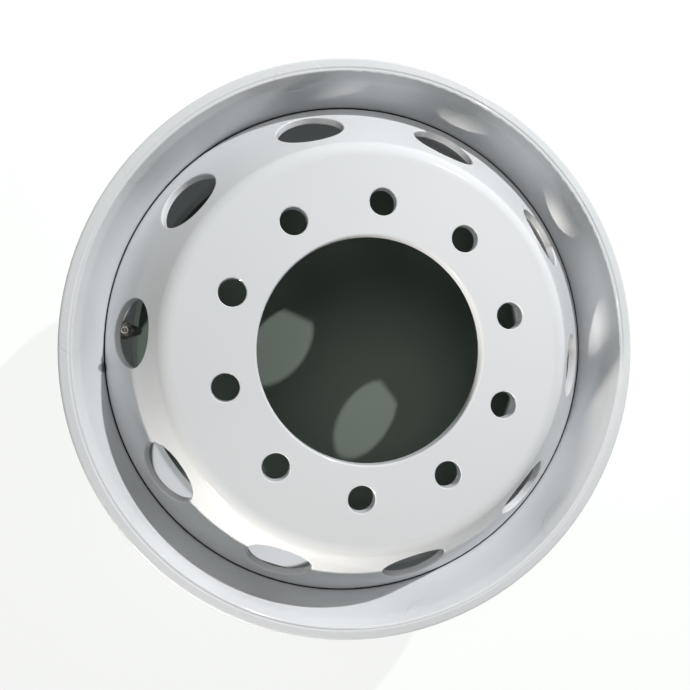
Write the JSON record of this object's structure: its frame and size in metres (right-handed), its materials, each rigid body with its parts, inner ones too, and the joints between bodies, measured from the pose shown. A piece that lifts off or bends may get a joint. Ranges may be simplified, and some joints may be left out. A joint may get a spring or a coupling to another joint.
{
  "type": "steel wheel",
  "caption": "Tubeless drop-centre steel wheel with a dished disc, hub bore, stud holes, round hand holes and a bent tyre valve.",
  "frame": {"origin": "on the wheel's axis, in the plane that the inboard flange rests on", "axes": "+Z along the wheel's axis, from the inboard flange to the convex side of the disc; -X towards the tyre valve"},
  "size_m": [0.5968, 0.5968, 0.2677],
  "materials": {
    "rim_paint": "glossy white paint",
    "disc_paint": "glossy white paint",
    "valve_metal": "dull pale metal",
    "core_brass": "plain turned brass",
    "core_steel": "plain drawn wire",
    "grommet_rubber": "matt black rubber"
  },
  "bodies": {
    "wheel": {"rim": "rim_paint", "disc": "disc_paint", "disc_weld": "rim_paint", "valve_stem": "valve_metal", "valve_grommet": "grommet_rubber", "valve_washer": "valve_metal", "valve_nut": "valve_metal", "core_barrel": "core_brass", "core_gasket": "grommet_rubber"},
    "core_plunger": {"core_pin": "core_steel", "core_cup": "core_brass", "core_spring": "core_steel"}
  },
  "joints": [
    {"name": "core_pin_press", "type": "slide", "parent": "wheel", "child": "core_plunger", "axis": [0, 0, -1], "range_m": [0, 0.0012], "stiffness_N_per_m": 900, "springref_m": -0.002, "deforming": ["core_spring"]}
  ]
}
